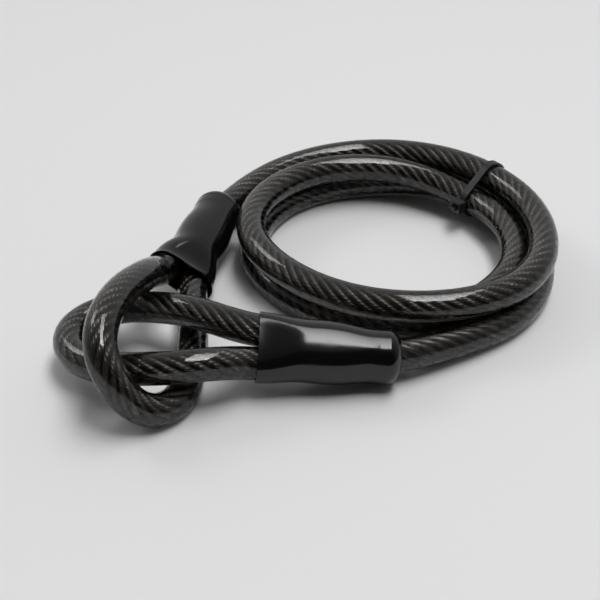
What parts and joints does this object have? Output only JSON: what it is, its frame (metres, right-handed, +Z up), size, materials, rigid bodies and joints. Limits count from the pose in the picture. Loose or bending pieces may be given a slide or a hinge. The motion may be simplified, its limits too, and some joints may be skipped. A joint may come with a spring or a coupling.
{
  "type": "cable lock",
  "caption": "Coiled security cable with a clear vinyl jacket over wire rope, a sleeved loop at each end for a padlock, one loop through the other, held by a cable tie.",
  "frame": {"origin": "under the middle of the whole, on the plane that the cable lies on", "axes": "+Z up from that plane, +Y from the loops towards the coil's far side, +X from the loops towards the coil"},
  "size_m": [0.1953, 0.1872, 0.0402],
  "materials": {
    "clear_vinyl": "smoky clear gloss",
    "wire_rope": "bright wires",
    "ferrule": "plain crimped",
    "black_vinyl": "semi-gloss",
    "black_nylon": "satin"
  },
  "bodies": {
    "root": {"coil_jacket": "clear_vinyl", "coil_rope": "wire_rope", "eye_a_jacket": "clear_vinyl", "eye_a_rope": "wire_rope", "eye_b_jacket": "clear_vinyl", "eye_b_rope": "wire_rope", "ferrule_a": "ferrule", "ferrule_b": "ferrule", "sleeve_a": "black_vinyl", "sleeve_b": "black_vinyl", "cable_tie": "black_nylon"}
  },
  "joints": []
}
